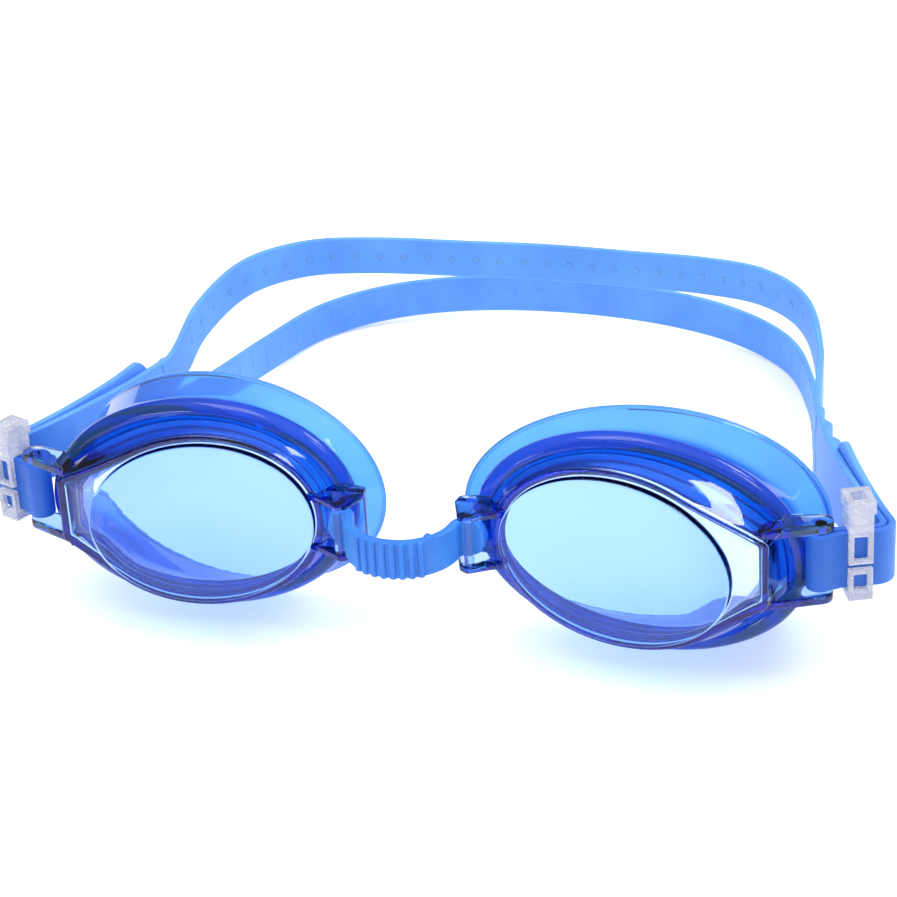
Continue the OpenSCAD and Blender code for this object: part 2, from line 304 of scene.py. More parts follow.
def moulded(name, s):
    # A moulded plastic or silicone: mottled tint, roughness and bump on one shader. The tint can
    # be deeper at some points, fill the body, or give lamps a clear way through.
    m = bpy.data.materials.new(name)
    m.use_nodes = True
    nodes, link = m.node_tree.nodes, m.node_tree.links.new
    shader, out = nodes["Principled BSDF"], nodes["Material Output"]
    look = nodes.new("ShaderNodeGroup")
    look.node_tree = mottle
    for key, value in s["look"].items():
        look.inputs[key].default_value = (*value, 1) if isinstance(value, tuple) else value
    bump = nodes.new("ShaderNodeBump")
    bump.inputs["Strength"].default_value = s["bump"]
    bump.inputs["Distance"].default_value = s["bumpDepth"]
    if "dense" in s:
        where, deeper = nodes.new("ShaderNodeAttribute"), nodes.new("ShaderNodeMix")
        where.attribute_name = "dense"
        deeper.data_type, deeper.blend_type = "RGBA", "MULTIPLY"
        deeper.inputs["B"].default_value = (*s["dense"], 1)
        link(where.outputs["Fac"], deeper.inputs["Factor"])
        link(look.outputs["Colour"], deeper.inputs["A"])
        link(deeper.outputs["Result"], shader.inputs["Base Color"])
    else:
        link(look.outputs["Colour"], shader.inputs["Base Color"])
    link(look.outputs["Roughness"], shader.inputs["Roughness"])
    link(look.outputs["Height"], bump.inputs["Height"])
    link(bump.outputs["Normal"], shader.inputs["Normal"])
    for key, value in s["shader"].items():
        shader.inputs[key].default_value = value
    if "absorb" in s:
        inside = nodes.new("ShaderNodeVolumeAbsorption")
        inside.inputs["Color"].default_value = (*s["absorb"][0], 1)
        link(inside.outputs["Volume"], out.inputs["Volume"])
        lit, thin = nodes.new("ShaderNodeLightPath"), nodes.new("ShaderNodeMapRange")
        thin.inputs["To Min"].default_value = s["absorb"][1]
        thin.inputs["To Max"].default_value = s["absorb"][1] * lampShare
        link(lit.outputs["Is Shadow Ray"], thin.inputs["Value"])
        link(thin.outputs["Result"], inside.inputs["Density"])
    if "shade" in s:
        path, clear, mix = (nodes.new("ShaderNode" + kind)
                            for kind in ("LightPath", "BsdfTransparent", "MixShader"))
        clear.inputs["Color"].default_value = (*s["shade"], 1)
        link(path.outputs["Is Shadow Ray"], mix.inputs["Fac"])
        link(shader.outputs["BSDF"], mix.inputs[1])
        link(clear.outputs["BSDF"], mix.inputs[2])
        link(mix.outputs["Shader"], out.inputs["Surface"])
    return m


finishes = {
    "lens": {
        "look": {"Tint": (0.97, 0.99, 1.0), "Deep Tint": (0.93, 0.97, 1.0), "Cloud Scale": 60,
                 "Grain Scale": 900, "Roughness Low": 0.01, "Roughness High": 0.035},
        "bump": 0.06, "bumpDepth": 0.0004,
        "absorb": ((0.0, 0.53, 0.94), 370), "shade": (0.97, 0.99, 1.0),
        "shader": {"Transmission Weight": 1.0, "IOR": 1.52}},
    "seal": {
        "look": {"Tint": (0.47, 0.80, 1.0), "Deep Tint": (0.40, 0.75, 1.0), "Cloud Scale": 120,
                 "Grain Scale": 1500, "Roughness Low": 0.03, "Roughness High": 0.08},
        # The dense tint deepens the thick silicone at the bead and lining, and is painted shade on
        # the lower half
        "bump": 0.03, "bumpDepth": 0.0002, "dense": (0.07, 0.36, 0.74),
        "absorb": ((0.0, 0.56, 0.93), 1550), "shade": (0.96, 0.98, 1.0),
        "shader": {"Transmission Weight": 0.88, "IOR": 1.41}},
    "bridge": {
        "look": {"Tint": (0.045, 0.23, 0.70), "Deep Tint": (0.032, 0.18, 0.64), "Cloud Scale": 160,
                 "Grain Scale": 2200, "Roughness Low": 0.34, "Roughness High": 0.5},
        "bump": 0.25, "bumpDepth": 0.0002,
        "shader": {"Subsurface Weight": 0.35, "Subsurface Scale": 0.0012,
                   "Subsurface Radius": (0.35, 0.7, 1.0), "IOR": 1.41}},
    "strap": {
        "look": {"Tint": (0.12, 0.35, 0.86), "Deep Tint": (0.10, 0.30, 0.84), "Cloud Scale": 90,
                 "Grain Scale": 1800, "Roughness Low": 0.4, "Roughness High": 0.55},
        "bump": 0.25, "bumpDepth": 0.0002, "dense": (0.2, 0.37, 0.62),
        "shader": {"Subsurface Weight": 0.35, "Subsurface Scale": 0.0015,
                   "Subsurface Radius": (0.35, 0.7, 1.0), "IOR": 1.41}},
    "clip": {
        "look": {"Tint": (0.76, 0.77, 0.84), "Deep Tint": (0.66, 0.68, 0.77), "Cloud Scale": 300,
                 "Grain Scale": 700, "Roughness Low": 0.12, "Roughness High": 0.35},
        "bump": 0.2, "bumpDepth": 0.0004, "shade": (0.95, 0.95, 0.97),
        "shader": {"Transmission Weight": 0.6, "IOR": 1.46}},
}
materials = {name: moulded(name + "Finish", s) for name, s in finishes.items()}
print("materials made:", len(materials))


around = np.linspace(0, 2 * math.pi, 256, endpoint=False)
ovals = {
    "window": {"a": 20.8, "b": 15.5, "step": 1.5, "bevel": 0.35},
    "rim": {"a": 27.2, "b": 18.2, "centre": (1.8, 9.7, 0.0), "sweep": 6.5},
    "lip": {"a": 32.5, "b": 21.4, "centre": (-0.9, 21.5, -1.0), "sweep": 18.2},
}
drooped = around + degrees(stance["droop"])


def level(p):
    # Drooped axes to the cup's own: a turn in the plane of the window
    c, s = math.cos(degrees(stance["droop"])), math.sin(degrees(stance["droop"]))
    return np.stack([p[..., 0] * c + p[..., 2] * s, p[..., 1], p[..., 2] * c - p[..., 0] * s], -1)


def ovalRing(o, out=0.0, back=0.0):
    # A point at each angle of an oval, moved out along the oval's normal and back along its
    # plane's normal
    c, s = np.cos(drooped), np.sin(drooped)
    r = 1 / np.sqrt((c / o["a"]) ** 2 + (s / o["b"]) ** 2)
    nx, nz = c * r / o["a"] ** 2, s * r / o["b"] ** 2
    size = np.hypot(nx, nz)
    x, z = r * c + out * nx / size, r * s + out * nz / size
    cs, ss = math.cos(degrees(o["sweep"])), math.sin(degrees(o["sweep"]))
    p = np.stack([x * cs - back * ss, x * ss + back * cs, z], -1)
    return level(p + np.array(o["centre"]))


def reach(support, grazing=0.02):
    # How far a convex outline lies in each direction: the least of its support over the cosine
    # of the turn to it, leaving out turns that only graze the outline
    turn = np.linspace(0, 2 * math.pi, 1440, endpoint=False)
    cosine = np.cos(around[:, None] - turn[None, :])
    far = support(turn)[None, :] / np.maximum(cosine, grazing)
    return np.where(cosine > grazing, far, np.inf).min(1)


def ellipseSupport(a, b):
    return lambda t: np.sqrt((a * np.cos(t + degrees(stance["droop"]))) ** 2
                             + (b * np.sin(t + degrees(stance["droop"]))) ** 2)


lensSet = {
    "plateA": 22.3, "plateB": 16.9,          # oval part of the front plate
    "templeX": 26.3, "templeHalf": 5.7,      # upright edge at the temple end
    "cornerRound": 0.4,                      # round on that edge's corners
    "templeBack": 0.8, "backFrom": 14,       # how far the plate falls back there, and from where
    "wall": 1.5, "windowWall": 2.5, "edge": 0.45, "fillet": 0.8, "frame": 1.1,
    "foot": 0.25,                            # fillet where the window rises from the plate
    "bulge": 0.35, "bulgeReach": 22,         # swell of the wall's outside, and the radius it is for
    "wallRows": 9, "hollowRows": 8,          # rings down the wall outside and inside
    "armRoot": [(22.5, 6.5), (22.5, 3.0), (26.75, 2.75)], "armHeel": (27.5, 11.6),
    "armThick": 1.7, "armGap": 0.6, "armTip": 2.3, "strapHeight": 10.5, "barRadius": 1.0,
    "noseRoom": 8.6, "nosePlate": 1.3, "postRadius": 0.9, "lugEnd": -29.6,
    "lugBevel": 0.3, "sunk": 0.4,            # how far bars, posts and back walls run into plates
}


def lensShell(s):
    # Outside: window, its step, the front plate, the side wall to the rim.
    # Inside: the same, less the wall.
    w, middle = ovals["window"], stance["strapZ"]
    windowR = reach(ellipseSupport(w["a"], w["b"]))
    corners = [(s["templeX"], middle + s["templeHalf"]), (s["templeX"], middle - s["templeHalf"])]

    def plateSupport(grow):
        oval = ellipseSupport(s["plateA"] + grow, s["plateB"] + grow)

        def support(t):
            edge = np.max([x * np.cos(t) + z * np.sin(t) for x, z in corners], 0)
            return np.maximum(oval(t), edge + s["cornerRound"] + grow)

        return support

    plateR = reach(plateSupport(0))
    innerR = reach(plateSupport(-s["frame"]))

    def flat(r, y):
        return np.stack([r * np.cos(around), np.full_like(r, y), r * np.sin(around)], -1)

    def ring(r, y):
        p = flat(r, y)
        fall = (p[:, 0] - s["backFrom"]) / (s["templeX"] - s["backFrom"])
        p[:, 1] += s["templeBack"] * ease(fall)
        return p

    turn = np.radians(np.linspace(0, 90, 5))
    bevel, step, foot, edge = w["bevel"], w["step"], s["foot"], s["edge"]
    rows = [flat(windowR * k, 0.0) for k in (0.2, 0.6, 0.9)]
    rows += [flat(windowR - bevel + bevel * math.sin(t), bevel - bevel * math.cos(t)) for t in turn]
    rows += [ring(windowR, step - foot)]
    rows += [ring(windowR + foot * (1 - math.cos(t)), step - foot * (1 - math.sin(t)))
             for t in turn[1:]]
    span = plateR - edge - windowR - foot
    rows += [ring(windowR + foot + span * k, step) for k in (0.35, 0.7, 1.0)]
    rows += [ring(plateR - edge + edge * math.sin(t), step + edge - edge * math.cos(t))
             for t in turn[1:]]
    front, rim = rows[-1], ovalRing(ovals["rim"])
    swell = (rim - rim.mean(0)) * s["bulge"] / s["bulgeReach"]
    for k in np.linspace(0.12, 1, s["wallRows"]):
        rows.append(front * (1 - k) + rim * k + swell * math.sin(math.pi * k))
    outer = skin(np.stack(rows))
    depth, soft = s["windowWall"], s["fillet"]
    inside = [flat(innerR * k, depth) for k in (0.2, 0.6, 0.9)]
    inside += [ring(innerR - soft + soft * math.sin(t), depth + soft - soft * math.cos(t))
               for t in turn]
    inFront, inRim = inside[-1], ovalRing(ovals["rim"], -s["wall"])
    inside += [inFront * (1 - k) + inRim * k for k in np.linspace(0.2, 1.25, s["hollowRows"])]
    return outer, skin(np.stack(inside))


def lensLugs(s):
    # Two arms at the temple, two plates with a back wall and a post at the nose, and last the
    # bar between the arms
    bx, by = stance["bar"]
    px, py = stance["post"]
    bevel, end = s["lugBevel"], s["lugEnd"]
    tip = [(bx + s["armTip"] * math.cos(a), by + s["armTip"] * math.sin(a))
           for a in np.radians(np.linspace(-62, 112, 15))]
    arm = np.vstack([rounded(s["armRoot"], [0.6, 0.3, 0.5], 4), tip, [s["armHeel"]]])
    z, half = stance["strapZ"], s["strapHeight"] / 2 + s["armGap"]
    parts = [slab(arm, z + half, z + half + s["armThick"], bevel),
             slab(arm, z - half - s["armThick"], z - half, bevel)]
    disc = unit(np.linspace(0, 360, 28, endpoint=False))
    bar = slab(disc * s["barRadius"] + [bx, by], z - half - s["sunk"], z + half + s["sunk"], 0.05)
    plate = rounded([(-18.5, 1.9), (-22.0, -0.2), (px, py - 1.45), (px - 1.7, py - 0.6),
                     (end, 2.4), (end, 4.8), (-22, 7.4)], [0.5, 2.5, 0.9, 0.8, 1.0, 0.9, 0.5], 5)
    z, half = stance["noseZ"], s["noseRoom"] / 2
    parts += [slab(plate, z + half, z + half + s["nosePlate"], bevel),
              slab(plate, z - half - s["nosePlate"], z - half, bevel)]
    back = rounded([(end + 0.15, 3.3), (-23.0, 3.5), (-23.0, 4.9), (end + 0.15, 4.6)], [0.3] * 4, 4)
    low, high = z - half - s["sunk"], z + half + s["sunk"]
    parts += [slab(back, low, high, 0.1),
              slab(disc * s["postRadius"] + [px, py], low, high, 0.05)]
    return [*parts, bar]


def makeLens(side, material):
    def placed(part):
        return sided((toFront(part[0]), part[1]), side)

    outer, inner = lensShell(lensSet)
    *lugs, bar = lensLugs(lensSet)
    lens = makePiece(side + "LensCup", placed(outer), material)
    tools = [("UNION", makePiece(f"{side}Tool{i}", placed(p), material))
             for i, p in enumerate(lugs)]
    tools.append(("DIFFERENCE", makePiece(side + "Hollow", placed(inner), material)))
    tools.append(("UNION", makePiece(side + "Bar", placed(bar), material)))
    combine(lens, tools)
    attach(lens, side + "_eyecup")
    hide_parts(side + "_lens")
    return lens


for side in ("right", "left"):
    made = makeLens(side, materials["lens"])
    print(made.name, "has", len(made.data.polygons), "faces")


sealSet = {
    "bead": 2.1, "beadOut": 0.35, "skirt": 0.95, "collar": 2.2, "lipRoll": 0.58, "lipIn": 0.3,
    "clear": 0.06, "flare": 1.5, "lining": 1.0, "liningFront": 0.12,
    "wallBulge": 0.42, "wallDepth": 9,       # swell of the lens wall that the bead keeps clear of
    "beadRows": 22, "skirtRows": 15, "lipRows": 14,
    "beadDeep": 0.8, "lipDeep": 0.7,         # how deep the tint is at the bead and the lip's edge
    "paleFrom": 0.15, "paleOver": 0.35,      # where it fades along the skirt
    "lowerShadeLag": 0.65, "lowerShadeSpread": 1.6,    # and how much later on the lower half, as painted shade
}


def sealRings(s, wallFront, wallRim):
    # A closed section carried round the rim: the bead, the skirt flaring back and out, the
    # rolled lip, the inner face, the lining inside the cup
    rim, lip = ovals["rim"], ovals["lip"]
    base, end = ovalRing(rim), ovalRing(lip, -s["lipIn"])
    rimOut, rimBack = ovalRing(rim, 1.0) - base, ovalRing(rim, 0.0, 1.0) - base
    lipOut = ovalRing(lip, 1.0) - end

    def spine(t):
        # From the bead back and out to the lip, later outwards than backwards
        straight = base + (end - base) * t
        lag = (end - base) - rimBack * np.einsum("ij,ij->i", end - base, rimBack)[:, None]
        return straight + lag * (t ** s["flare"] - t)

    def thick(t):
        # The wall thins from the collar behind the bead to the lip
        return s["skirt"] + (s["collar"] - s["skirt"]) * (1 - ease((t - 0.1) / 0.3))

    def frameAt(t):
        d = spine(min(t + 0.01, 1.0)) - spine(max(t - 0.01, 0.0))
        d /= np.linalg.norm(d, axis=1)[:, None]
        o = rimOut * (1 - t) + lipOut * t
        o = o - d * np.einsum("ij,ij->i", o, d)[:, None]
        return d, o / np.linalg.norm(o, axis=1)[:, None]

    rows = []
    for a in np.radians(np.linspace(-160, 48, s["beadRows"])):
        out, back = s["beadOut"] + s["bead"] * math.cos(a), rimBack * s["bead"] * math.sin(a)
        rows.append(base + rimOut * out + back)
    for t in np.concatenate([np.linspace(0.16, 0.9, s["skirtRows"] - 1), [0.94]]):
        d, o = frameAt(t)
        rows.append(spine(t) + o * thick(t) / 2)
    d, o = frameAt(1.0)
    r = s["lipRoll"]
    for a in np.radians(np.linspace(110, -110, s["lipRows"])):
        rows.append(spine(1.0) - d * r + d * r * math.cos(a) + o * r * math.sin(a))
    for t in np.concatenate([[0.93], np.linspace(0.88, 0.16, s["skirtRows"] - 1)]):
        d, o = frameAt(t)
        rows.append(spine(t) - o * thick(t) / 2)
    # The lining runs forward inside the cup's wall, with two grooves, and comes back along it
    front = s["liningFront"]
    for k, depth in ((1.0, 1.0), (0.92, 1.1), (0.84, 1.0), (0.78, 0.55), (0.72, 0.55), (0.66, 1.0),
                     (0.58, 1.1), (0.5, 1.0), (0.44, 0.55), (0.38, 0.55), (0.32, 1.0), (0.24, 1.05),
                     (front + 0.05, 1.0), (front, 0.75), (front, 0.3), (front + 0.04, 0),
                     (0.4, 0), (0.7, 0), (0.97, 0)):
        rows.append(wallFront * (1 - k) + wallRim * k - rimOut * (depth * s["lining"] + s["clear"]))
    rows.append(base - rimOut * (lensSet["wall"] + s["clear"]) + rimBack * s["clear"])
    rows.append(base + rimOut * s["clear"] * 1.5 + rimBack * s["clear"])
    # The tint is deep at the bead and the lining and pale towards the lip. On the lower half it
    # stays deep further back, as painted shade.
    bead, skirt, edge = s["beadRows"], s["skirtRows"], s["lipRows"]
    place = np.zeros(len(rows))
    place[bead:bead + skirt] = np.linspace(0.16, 0.94, skirt)
    place[bead + skirt:bead + skirt + edge] = 1
    place[bead + skirt + edge:bead + 2 * skirt + edge] = np.linspace(0.93, 0.16, skirt)
    # Painted shade: the lower half keeps the deep tint further towards the lip
    low = ease(-s["lowerShadeSpread"] * np.sin(drooped))
    dense = 1 - ease((place[:, None] - s["paleFrom"] - s["lowerShadeLag"] * low) / s["paleOver"])
    dense[:bead] = s["beadDeep"]
    dense[bead + skirt + 3:bead + skirt + edge - 3] = s["lipDeep"]
    return np.stack(rows), dense.ravel()


def clearOfWall(rings, s, front, rim):
    # The bead's inner side is pushed out to the lens wall, which narrows towards the front
    base = ovalRing(ovals["rim"])
    out, back = ovalRing(ovals["rim"], 1.0) - base, ovalRing(ovals["rim"], 0.0, 1.0) - base
    rise = front - rim
    depth = np.einsum("ij,ij->i", rise, back)
    slope = np.einsum("ij,ij->i", rise, out) / depth
    for i in range(s["beadRows"]):
        p = rings[i] - base
        d, n = np.einsum("ij,ij->i", p, back), np.einsum("ij,ij->i", p, out)
        bulge = s["wallBulge"] * np.sin(np.clip(-d / s["wallDepth"], 0, 1) * math.pi)
        least = slope * d + bulge + s["clear"]
        push = np.where(d < s["clear"], np.maximum(least - n, 0), 0)
        rings[i] += out * push[:, None]
    return rings


def makeSeal(side, material):
    outer, inner = (part[0][:-2].reshape(-1, len(around), 3) for part in lensShell(lensSet))
    innerFront, outerFront = inner[-1 - lensSet["hollowRows"]], outer[-1 - lensSet["wallRows"]]
    rings, dense = sealRings(sealSet, innerFront, ovalRing(ovals["rim"], -lensSet["wall"]))
    rings = toFront(clearOfWall(rings, sealSet, outerFront, outer[-1]))
    seal = makePiece(side + "FaceSeal", sided(skin(rings, "loop"), side), material, 60)
    deepen(seal.data, dense)
    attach(seal, side + "_eyecup")
    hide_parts(side + "_gasket")
    return seal


for side in ("right", "left"):
    made = makeSeal(side, materials["seal"])
    print(made.name, "has", len(made.data.polygons), "faces")


def section(n=7):
    # A rounded rectangle: each point's corner and the part of the corner's arc, across and up
    quarter = unit(np.linspace(0, 90, n))
    corners = []
    for sx, sz, order in ((1, 1, 1), (-1, 1, -1), (-1, -1, 1), (1, -1, -1)):
        arc = quarter[::order]
        corners.append(np.column_stack([np.full(n, sx), arc[:, 0] * sx,
                                        np.full(n, sz), arc[:, 1] * sz]))
    return np.vstack(corners)


def ribbonRings(path, width, top, bottom, corner, swell=None):
    # A rounded strip section carried upright along a path. Top and bottom are heights above and
    # below the path, and swell thickens the outer face.
    d = np.gradient(path, axis=0)
    d /= np.linalg.norm(d, axis=1)[:, None]
    side = np.stack([d[:, 1], -d[:, 0], np.zeros(len(d))], -1)
    side /= np.linalg.norm(side, axis=1)[:, None]
    up = np.cross(side, d)
    sec = section()[None]
    corner = np.minimum(corner, np.minimum(width / 2, (top + bottom) / 2) * 0.95)
    x = sec[..., 0] * (width / 2 - corner)[:, None] + sec[..., 1] * corner[:, None]
    half = np.where(sec[..., 2] > 0, 1.0, 0.0)
    z = half * (top - corner)[:, None] - (1 - half) * (bottom - corner)[:, None]
    z = z + sec[..., 3] * corner[:, None]
    if swell is not None:
        x = x + np.where(sec[..., 0] > 0, 1.0, 0.0) * swell[:, None]
    return path[:, None, :] + side[:, None, :] * x[..., None] + up[:, None, :] * z[..., None]


def spaced(points, step):
    # The same line with points every step along its length
    p = np.asarray(points, float)
    s = np.concatenate([[0], np.cumsum(np.linalg.norm(np.diff(p, axis=0), axis=1))])
    t = np.linspace(0, s[-1], max(2, int(round(s[-1] / step)) + 1))
    return np.stack([np.interp(t, s, p[:, i]) for i in range(p.shape[1])], -1), t


def arcPoints(centre, r, a0, a1, n=40):
    return np.asarray(centre) + r * unit(np.linspace(a0, a1, n))


bridgeSet = {"front": -6.8, "thick": 1.8, "high": 7.0, "leftGap": 0.15, "rightGap": 0.85,
             "turnEnd": 80, "headLong": 2.1, "corner": 0.55,
             "ribs": 8, "ribPitch": 9.5, "ribHigh": 0.55, "ribHalf": 0.52,
             "toothAt": 7.2, "toothHigh": 0.55, "toothHalf": 0.75}


def bridgeHalf(s, gap):
    # Right half in plan: an arc from the middle to the post, the turn round the back of the
    # post, the head
    r = lensSet["postRadius"] + gap + s["thick"] / 2
    px, py = postPlan
    big = (px ** 2 + (py - s["front"]) ** 2 - r ** 2) / (2 * (py - s["front"] + r))
    centre = np.array([0, s["front"] + big])
    turn = math.degrees(math.atan2(py - centre[1], px))
    first = arcPoints(centre, big, -90, turn)
    second = arcPoints(postPlan, r, 180 + turn, s["turnEnd"])
    last = second[-1] + unit(s["turnEnd"] - 90) * np.linspace(0.1, s["headLong"], 12)[:, None]
    return np.vstack([first, second[1:], last]), big


def makeBridge(s, material):
    right, bigRight = bridgeHalf(s, s["rightGap"])
    left, bigLeft = bridgeHalf(s, s["leftGap"])
    plan = np.vstack([left[:0:-1] * [-1, 1], right])
    path, along = spaced(np.column_stack([plan, np.full(len(plan), stance["noseZ"])]), 0.07)
    # Lengths are measured from where the front of the bow crosses the middle plane
    behind = np.where(path[:, 1] > 0, np.inf, 0)
    offset = along - along[np.argmin(np.abs(path[:, 0]) + behind)]
    big = np.where(offset > 0, bigRight, bigLeft)
    toEnd = np.minimum(along, along[-1] - along)
    headShare = np.minimum(toEnd / (s["headLong"] * 1.25), 1)
    half = s["high"] / 2 * np.sqrt(np.clip(1 - (1 - headShare) ** 2, 0.003, 1))
    ribTurn = np.degrees(offset / big) / s["ribPitch"]
    near = np.abs(ribTurn - (np.floor(ribTurn) + 0.5)) * s["ribPitch"] * np.radians(1) * big
    rib = s["ribHigh"] * np.sqrt(np.clip(1 - (near / s["ribHalf"]) ** 2, 0, 1))
    rib = rib * (np.abs(ribTurn) < s["ribs"] / 2)
    away = np.abs(offset - s["toothAt"]) / s["toothHalf"]
    tooth = s["toothHigh"] * np.clip(1 - away, 0, 1) ** 0.6
    rings = ribbonRings(path, np.full(len(path), s["thick"]), half + tooth, half,
                        np.full(len(path), s["corner"]), rib)
    bridge = makePiece("noseBridge", skin(rings), material, 50)
    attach(bridge, "nose_bridge")
    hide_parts("nose_bridge")
    return bridge


made = makeBridge(bridgeSet, materials["bridge"])
print(made.name, "has", len(made.data.polygons), "faces")


strapSet = {
    "thick": 1.3, "high": 10.5, "band": 7.8, "forkHigh": 16.0, "corner": 0.42,
    "run": 22, "runLong": 9.6, "bend": 2.4, "bendDir": 119, "layer": 0.75,
    "closing": 3.4, "barGap": 0.1, "guide": 24.5, "fork": (64, 52, -0.4),
    "forkRun": 42, "partAt": 0.6,            # length from bend to fork, share where layers part
    "tails": (26.0, 37.0), "tailRise": 3.9,  # right and left
    "leadIn": 2.0, "leadThin": 0.12,         # how the bands start inside the strap ends
    "upper": [(64, 52, 3.7), (62, 66, 10), (57, 79, 14), (47.5, 89, 14.8), (34.5, 96, 13.6),
              (17.5, 100.5, 12.2), (0, 102.8, 11.6)],
    "lower": [(64, 52, -4.5), (61, 69, -6), (57, 87, -6.4), (50, 102, -5), (37, 110, -2.8),
              (20, 112.7, -0.8), (0, 112.8, 0.2)],
    "teeth": [(0.5, 0.5), (7.0, 0.95), (13.5, 1.25)],   # distance before the fork, height
    "toothHalf": 2.1, "toothRun": 42.5,      # the tail and the teeth share this length
    "deepNear": 7.0, "deepFade": 13.0,
    "dotPitch": 5.0, "dotRadius": 0.8, "dotHigh": 0.13, "dotSink": 0.2, "dotSkip": 2,
}


def spline(points, n=24):
    # Smooth curve through points, each stretch entered and left along the line between its
    # neighbours
    p = np.asarray(points, float)
    t = np.linspace(0, 1, n, endpoint=False)[:, None]
    parts = []
    for a, b, c, d in zip(p[:-3], p[1:-2], p[2:-1], p[3:]):
        parts.append(0.5 * (2 * b + (c - a) * t + (2 * a - 5 * b + 4 * c - d) * t ** 2
                            + (3 * b - a - 3 * c + d) * t ** 3))
    return np.vstack(parts + [p[-2:-1]])


def strapFold(s):
    # In plan, on the right: where the two layers bend, and the guide point that steers them
    # to the fork
    bendCentre = barPlan + s["runLong"] * unit(s["run"]) + s["bend"] * unit(s["run"] + 90)
    bendEnd = bendCentre + s["bend"] * unit(s["bendDir"] - 90)
    return bendCentre, bendEnd, bendEnd + s["guide"] * unit(s["bendDir"])


def towardsFork(s, t, shift):
    # A bent line from the end of the bend to the fork, moved sideways
    t = np.asarray(t)[:, None]
    _, start, guide = strapFold(s)
    end = np.array(s["fork"][:2])
    q = (1 - t) ** 2 * start + 2 * t * (1 - t) * guide + t ** 2 * end
    d = (1 - t) * (guide - start) + t * (end - guide)
    n = np.stack([d[:, 1], -d[:, 0]], -1) / np.linalg.norm(d, axis=1)[:, None]
    return q + n * np.asarray(shift)[:, None]


def bandRoute(s, half):
    # A band's centre line all the way round, from its right half
    guide = strapFold(s)[2]
    half = np.array(half, float)
    lead = np.array([[*guide, half[0, 2]]])
    back = half[-2::-1] * [-1, 1, 1]
    return spline(np.vstack([lead, half, back, lead * [-1, 1, 1]]))


def foldedEnd(s, long):
    # From the tail's tip round the bar and back to the fork: centre line and half height
    bendCentre = strapFold(s)[0]
    share, parted = long / s["forkRun"], 1 - s["partAt"]
    t = np.linspace(share, 0, 60)
    tail = towardsFork(s, t, s["layer"] * (1 + ease((t - s["partAt"]) / parted)))
    left = (share - t) / share * long
    wrap = lensSet["barRadius"] + s["barGap"] + s["thick"] / 2
    closing = barPlan + s["closing"] * unit(s["run"])
    folded = np.vstack([
        arcPoints(bendCentre, s["bend"] + s["layer"], s["bendDir"] - 90, s["run"] - 90)[1:],
        [closing - s["layer"] * unit(s["run"] + 90)],
        arcPoints(barPlan, wrap, s["run"] + 270, s["run"] + 90),
        [closing + s["layer"] * unit(s["run"] + 90)],
        arcPoints(bendCentre, s["bend"] - s["layer"], s["run"] - 90, s["bendDir"] - 90)])
    u = np.linspace(0, 1, 90)[1:]
    main = towardsFork(s, u, -s["layer"] * (1 - ease((u - s["partAt"]) / parted)))
    tip = s["high"] / 2
    capped = np.sqrt(np.clip(1 - (1 - np.minimum(left / (tip * 0.7), 1)) ** 2, 0.02, 1))
    rise = s["tailRise"] * (1 - np.minimum(left / long, 1)) ** 1.5
    height = stance["strapZ"]
    z = np.concatenate([height + rise, np.full(len(folded), height),
                        height + (s["fork"][2] - height) * ease(u)])
    half = np.concatenate([tip * capped, np.full(len(folded), tip),
                           tip + (s["forkHigh"] / 2 - tip) * ease(u)])
    plan = np.vstack([tail, folded, main])
    return np.column_stack([plan, z, half])


def strapEnd(s, long):
    # The folded end on the right, with the teeth that its tail leaves free on the outer face
    end, along = spaced(foldedEnd(s, long), 0.35)
    swell = np.zeros(len(end))
    for before, high in s["teeth"]:
        if before + s["toothHalf"] < s["toothRun"] - long:
            away = (along - along[-1] + before) / s["toothHalf"]
            swell += high * np.clip(1 - away ** 2, 0, 1) ** 1.5
    wide, corner = (np.full(len(end), s[key]) for key in ("thick", "corner"))
    return skin(ribbonRings(end[:, :3], wide, end[:, 3], end[:, 3], corner, swell))


def strapBand(s, half):
    # A band from fork to fork, led a little way into the strap ends and thinner there
    route = bandRoute(s, half)
    path, _ = spaced(route, 0.8)
    lead = [path[0] + (path[0] - path[1]) * k for k in (s["leadIn"], s["leadIn"] * 0.5)]
    path = np.vstack([lead, path, [p * [-1, 1, 1] for p in lead[::-1]]])
    n = len(path)
    wide = np.full(n, s["thick"])
    wide[[0, 1, 2, -3, -2, -1]] -= s["leadThin"]
    height = np.full(n, s["band"] / 2)
    return skin(ribbonRings(path, wide, height, height, np.full(n, s["corner"]))), route


def gripDots(s, route):
    # Low round pads along the inner face of a band: rings up a shallow dome, from inside the
    # band. The first and last few places are left out.
    p, _ = spaced(route, s["dotPitch"])
    p = p[s["dotSkip"]:-s["dotSkip"]]
    d = np.gradient(p, axis=0)
    d /= np.linalg.norm(d, axis=1)[:, None]
    inner = np.stack([-d[:, 1], d[:, 0], np.zeros(len(d))], -1)
    inner /= np.linalg.norm(inner, axis=1)[:, None]
    up = np.cross(d, inner)
    turn = np.linspace(0, 2 * math.pi, 12, endpoint=False)
    r, sink, high = s["dotRadius"], s["dotSink"], s["dotHigh"]
    dome = ((r, 0), (r, sink), (r * 0.85, sink + high * 0.6), (r * 0.5, sink + high))
    parts = []
    for c, t, i, u in zip(p, d, inner, up):
        circle = np.cos(turn)[:, None] * t + np.sin(turn)[:, None] * u
        rows = [c + i * (s["thick"] / 2 - sink + rise) + radius * circle for radius, rise in dome]
        parts.append(outward(skin(np.stack(rows))))
    return parts


